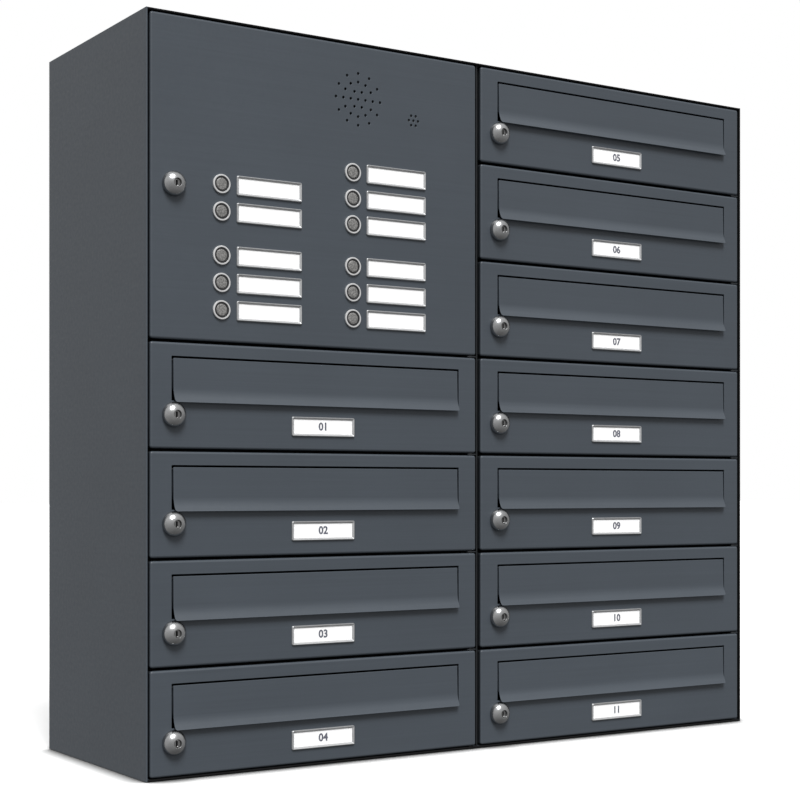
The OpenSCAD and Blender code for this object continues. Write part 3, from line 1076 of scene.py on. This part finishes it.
def bell_ring(shape, x, z):
    """Bright ring with a stepped seat and a threaded barrel."""
    bore = CAP_R + 0.35
    step_h = 1.15
    profile = [
        (bore, -BELL_BARREL_L),
        (bore, step_h),
        (RING_STEP_R, step_h),
        (RING_STEP_R, RING_H - 0.2),
        (RING_STEP_R + 0.08, RING_H - 0.06),
        (RING_STEP_R + 0.2, RING_H),
        (RING_R - 0.55, RING_H),
        (RING_R - 0.25, RING_H - 0.1),
        (RING_R - 0.08, RING_H - 0.3),
        (RING_R, RING_H - 0.8),
        (RING_R, 0.2),
        (RING_R - 0.15, STAND_OFF),
        (BELL_BARREL_R, STAND_OFF),
    ]
    profile += thread(BELL_BARREL_R, -DOOR_T - 3.2, -BELL_BARREL_L, 0.75, 0.25)
    shape.turn(profile, x, z, closed=True)


def bell_seat(shape, x, z):
    """Black seat between the ring and its cap."""
    inner, outer = CAP_R + 0.1, RING_STEP_R - 0.05
    skirt = CAP_R + 0.33
    bottom, step_h = 0.4, 1.18
    profile = [
        (inner, bottom),
        (inner, SEAT_H - 0.15),
        (inner + 0.15, SEAT_H),
        (outer - 0.25, SEAT_H),
        (outer, SEAT_H - 0.15),
        (outer, step_h),
        (skirt, step_h),
        (skirt, bottom),
    ]
    shape.turn(profile, x, z, closed=True)


def bell_cap(shape):
    """Press cap with a soft edge, its collar and its stem."""
    face = RING_H - CAP_SINK
    collar = -BELL_BARREL_L - 0.3
    collar_end = collar - 1
    stem_end = -SWITCH_Y + 1.8
    profile = [
        (0, face),
        (CAP_R * 0.6, face - 0.02),
        (CAP_R - 0.75, face - 0.12),
        (CAP_R - 0.35, face - 0.3),
        (CAP_R - 0.08, face - 0.62),
        (CAP_R, face - 1.0),
        (CAP_R, collar),
        (COLLAR_R, collar),
        (COLLAR_R, collar_end),
        (STEM_R, collar_end),
        (STEM_R, stem_end + EASE),
        (STEM_R - EASE, stem_end),
        (0, stem_end),
    ]
    shape.turn(profile, 0, 0)


def speaker_shapes():
    """Basket and magnet, and the paper cone, about the speaker's axis, behind y = 0."""
    basket, cone = Shape(), Shape()
    mouth, front = SPEAKER_R - 3, -0.05
    back = -SPEAKER_D
    profile = [
        (mouth, front),
        (SPEAKER_R - 0.4, front),
        (SPEAKER_R, -0.4),
        (SPEAKER_R, -2.2),
        (SPEAKER_R - 0.6, -2.9),
        (SPEAKER_R - 2, -3.3),
        (SPEAKER_R - 4.5, -5.2),
        (MAGNET_R + 2, -12.6),
        (MAGNET_R, -13.6),
        (MAGNET_R, back + 0.6),
        (MAGNET_R - 0.6, back),
        (5, back),
        (4.5, back + 0.6),
        (4.5, back + 4),
        (0, back + 4),
    ]
    basket.turn(profile, 0, 0)
    profile = [(mouth, front), (mouth - 1, -1.4), (mouth - 3, -0.9), (mouth - 4.5, -2.6)]
    profile += [(10, -10.6), (8.5, -9.4), (5, -8.4), (0, -8.0)]
    cone.turn(profile, 0, 0)
    return basket, cone


def microphone_shape():
    """Stepped capsule about the microphone's axis, behind y = 0."""
    shape = Shape()
    back = -MIC_D
    profile = [(0, -0.05), (MIC_R - 0.4, -0.05), (MIC_R, -0.5), (MIC_R, -5.2)]
    profile += [(MIC_R - 1.4, -6), (MIC_R - 1.4, back + 0.6), (MIC_R - 1.8, back)]
    profile += [(3, back), (2.6, back + 0.5), (0, back + 0.5)]
    shape.turn(profile, 0, 0)
    return shape


def switch(black, metal, x, z, back):
    """A push switch in front of the board, with its four soldered pins and its diode behind."""
    half = 3.0
    block(black, x - half, SWITCH_Y + 0.6, z - half, x + half, BOARD_Y - 0.05, z + half)
    bar(metal, x, z, 1.7, SWITCH_Y, SWITCH_Y + 0.62, 24, 0.15)
    for dx in (-2.6, 2.6):
        for dz in (-3.6, 3.6):
            bar(metal, x + dx, z + dz, 0.7, back - 0.1, back + 0.9, 12, 0.2)
    start, end, foot, rise = x + 9, x + 15, 0.8, back + 0.05
    block(black, start, rise, z - 2, end, back + 2, z + 2)
    for left in (start - foot, end):
        block(metal, left, rise, z - 1.6, left + foot, back + 0.6, z + 1.6, 0.1)


def chip(black, metal, x, z, back):
    """A flat chip with eight pins on each side, on the back of the board."""
    pitch, pins = 2.5, 8
    block(black, x - 7, back + 0.3, z - 10, x + 7, back + 2.6, z + 10)
    for i in range(pins):
        pin = z + (i - (pins - 1) / 2) * pitch
        for left in (x - 8.6, x + 7.2):
            block(metal, left, back + 0.05, pin - 0.4, left + 1.4, back + 0.9, pin + 0.4, 0.1)


def circuit_board():
    """Board with its posts and screws, switches and other parts, in the panel's frame."""
    board, black, metal = Shape(), Shape(), Shape()
    places = [bell_at(n) - PANEL_AT for n in BELLS]
    x0 = min(p.x for p in places) - BOARD_EDGE
    x1 = max(p.x for p in places) + BOARD_EDGE
    z0 = min(p.z for p in places) - BOARD_EDGE
    z1 = max(p.z for p in places) + BOARD_EDGE
    back = BOARD_Y + BOARD_T
    ease = 0.2
    loops = []
    for i, y in ((ease, BOARD_Y), (0, BOARD_Y + ease), (0, back - ease), (ease, back)):
        loops.append(rounded(x0 + i, z0 + i, x1 - i, z1 - i, 3, y))
    board.solid(loops)
    for x in (x0 + POST_IN, x1 - POST_IN):
        for z in (z0 + POST_IN, z1 - POST_IN):
            bar(metal, x, z, POST_R, DOOR_T + STAND_OFF, BOARD_Y - STAND_OFF)
            nut(metal, x, z, POST_R + 0.1, SCREW_R + 0.1, back + STAND_OFF, back + 2.2)
            bar(metal, x, z, SCREW_R, back - 1, back + 3.2)
    for p in places:
        switch(black, metal, p.x, p.z, back)
    centre = (x0 + x1) / 2
    for k in range(2):
        chip(black, metal, centre, z0 + 50 + 60 * k, back)
    terminal_w = 7.4
    for i in range(6):
        x = centre - 22 + 8 * i
        block(black, x, back + 0.05, z0 + 6, x + terminal_w, back + 9, z0 + 15, 0.6)
        bar(metal, x + terminal_w / 2, z0 + 10.5, 2, back + 8.8, back + 9.5, 20)
    for i in range(3):
        bar(black, centre - 20 + 20 * i, z1 - 16, 4, back + 0.1, back + 10, 28, 0.5)
    return board, black, metal


def build_panel():
    """The hinged panel with its bells, windows, speaker, microphone and board."""
    sheet = Shape()
    places = [bell_at(n) - PANEL_AT for n in BELLS]
    lock = lock_at(PANEL_LOCK) - PANEL_AT
    cuts = [round_cut(lock.x, lock.z, BARREL_R + 0.05)]
    cuts += [round_cut(p.x, p.z, BELL_BARREL_R + 0.05) for p in places]
    cuts += [round_cut(x, z, SPEECH_HOLE_R, SPEECH_HOLE_STEPS) for x, z in speech_holes()]
    pan(sheet, DOOR_W, PANEL_H, cuts)
    rings, seats, nuts = Shape(), Shape(), Shape()
    rims, cards, covers = Shape(), Shape(), Shape()
    for p in places:
        bell_ring(rings, p.x, p.z)
        bell_seat(seats, p.x, p.z)
        nut(nuts, p.x, p.z, RING_R + 1, BELL_BARREL_R - 0.3, DOOR_T + 0.05, DOOR_T + 3)
        x, z = p.x + BELL_WINDOW_OFF, p.z - WINDOW_H / 2
        window_rim(rims, x, z)
        window_card(cards, x, z)
        window_cover(covers, x, z)

    def add(name, shape, materials, node=None, at=PANEL_AT):
        finish_piece(name, shape, materials, "bell_panel", at, [node] if node else [])

    add("bell_panel_sheet", sheet, FOLDED_SHEET, "intercom_panel")
    add("bell_panel_rings", rings, [RING_STEEL], "bell_rings")
    add("bell_panel_ring_seats", seats, [BLACK])
    add("bell_panel_nuts", nuts, [ZINC])
    add("bell_panel_window_rims", rims, [RIM_SILVER], "bell_name_windows")
    add("bell_panel_cards", cards, [CARD])
    add("bell_panel_covers", covers, [COVER])
    speaker, mic = middle("door_speaker"), middle("microphone")
    speaker.y = mic.y = FRONT + DOOR_T
    basket, cone = speaker_shapes()
    add("speaker_basket", basket, [BLACK], "door_speaker", speaker)
    add("speaker_cone", cone, [CONE], at=speaker)
    add("microphone_capsule", microphone_shape(), [BLACK], "microphone", mic)
    board, black, metal = circuit_board()
    add("bell_board", board, [BOARD], "bell_circuit_board")
    add("bell_board_parts", black, [BLACK])
    add("bell_board_metal", metal, [COPPER])


build_panel()

cap_shape = Shape()
bell_cap(cap_shape)
for n in BELLS:
    button = f"bell_button_{n:02d}"
    finish_piece(button + "_cap", cap_shape, [CAP], button, bell_at(n), [button])

# ---- CAD nodes that stay in view ----

for node, material in (
    ("casing_rear", COAT),
    # the shelves take the darker coat as painted shade
    ("box_shelves", PAINTED_SHADE_COAT),
    ("hinge_rods", DARK_ROD_STEEL),
    ("lock_strikes", ZINC),
):
    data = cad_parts[node].data
    data.materials.clear()
    data.materials.append(material)

# ---- floor, light and camera ----


def floor():
    """A pale floor that runs far out of view, with a painted contact shadow close to what stands
    on it.
    """
    size = 30.0
    shade_reach = 0.032
    shade = (0.12, 0.12, 0.12)
    z = cad_box[0].z - 0.0005
    corners = [(-size, -size, z), (size, -size, z), (size, size, z), (-size, size, z)]
    mesh = bpy.data.meshes.new("floor")
    mesh.from_pydata(corners, [], [(0, 1, 2, 3)])
    m = Nodes("studio_floor")
    near = m.tree.nodes.new("ShaderNodeAmbientOcclusion")
    near.samples = 8
    near.inputs["Distance"].default_value = shade_reach
    pale = m.mix(m.noise(3.0), (0.90, 0.90, 0.90), (0.93, 0.93, 0.93))
    m.set(Base_Color=m.mix(m.span(near.outputs["AO"], 0, 1, 0.5, 0.95), shade, pale))
    m.set(Roughness=0.9)
    m.set(Specular_IOR_Level=0.1)
    mesh.materials.append(m.material)
    sweep = bpy.data.objects.new("floor", mesh)
    sweep.visible_diffuse = False
    sweep.visible_glossy = False
    bpy.context.scene.collection.objects.link(sweep)


def soft_sun(name, comes_from, strength, spread):
    """A wide far light. comes_from points from the unit to the light, and spread is in degrees."""
    data = bpy.data.lights.new(name, "SUN")
    data.energy = strength
    data.angle = radians(spread)
    lamp = bpy.data.objects.new(name, data)
    lamp.rotation_mode = "QUATERNION"
    lamp.rotation_quaternion = Vector(comes_from).to_track_quat("Z", "Y")
    bpy.context.scene.collection.objects.link(lamp)


def studio_world(above, level, below):
    """White to the camera, and soft light that is brighter from above."""
    brightest = (-0.22, 0.0, 0.975)
    world = bpy.data.worlds.new("studio")
    world.use_nodes = True
    tree = world.node_tree
    background = tree.nodes["Background"]
    coords = tree.nodes.new("ShaderNodeTexCoord")
    lean = tree.nodes.new("ShaderNodeVectorMath")
    lean.operation = "DOT_PRODUCT"
    lean.inputs[1].default_value = brightest
    tree.links.new(coords.outputs["Generated"], lean.inputs[0])
    ramp = tree.nodes.new("ShaderNodeValToRGB")
    stops = ramp.color_ramp.elements
    stops[0].position, stops[0].color = 0.0, (below, below, below, 1)
    stops[1].position, stops[1].color = 1.0, (above, above, above, 1)
    centre = stops.new(0.5)
    centre.color = (level, level, level, 1)
    height = tree.nodes.new("ShaderNodeMapRange")
    height.inputs["From Min"].default_value = -1.0
    tree.links.new(lean.outputs["Value"], height.inputs["Value"])
    tree.links.new(height.outputs[0], ramp.inputs[0])
    path = tree.nodes.new("ShaderNodeLightPath")
    mix = tree.nodes.new("ShaderNodeMix")
    mix.data_type = "RGBA"
    mix.inputs[7].default_value = (1, 1, 1, 1)
    tree.links.new(path.outputs["Is Camera Ray"], mix.inputs[0])
    tree.links.new(ramp.outputs[0], mix.inputs[6])
    tree.links.new(mix.outputs[2], background.inputs[0])
    bpy.context.scene.world = world


def camera():
    """The camera stands left of the unit, level, and sees more above its axis than below."""
    lens = 75.23
    yaw = 0.579
    shift_y = 0.1119
    from_corner = Vector((-699.6, -1532.4, 291.9)) * MM
    corner = Vector((left_plate[0].x, FRONT, left_plate[0].z)) * MM
    data = bpy.data.cameras.new("camera")
    data.sensor_width = 36.0
    data.lens = lens
    data.shift_y = shift_y
    data.clip_start, data.clip_end = 0.05, 100.0
    eye = bpy.data.objects.new("camera", data)
    turn = Matrix.Rotation(-yaw, 4, "Z") @ Matrix.Rotation(pi / 2, 4, "X")
    eye.matrix_world = Matrix.Translation(corner + from_corner) @ turn
    bpy.context.scene.collection.objects.link(eye)
    bpy.context.scene.camera = eye


floor()
studio_world(above=0.9, level=0.5, below=0.16)
soft_sun("key", comes_from=(-0.3, -1.0, 1.45), strength=3.8, spread=24)
camera()
bpy.context.scene.view_settings.view_transform = "Standard"
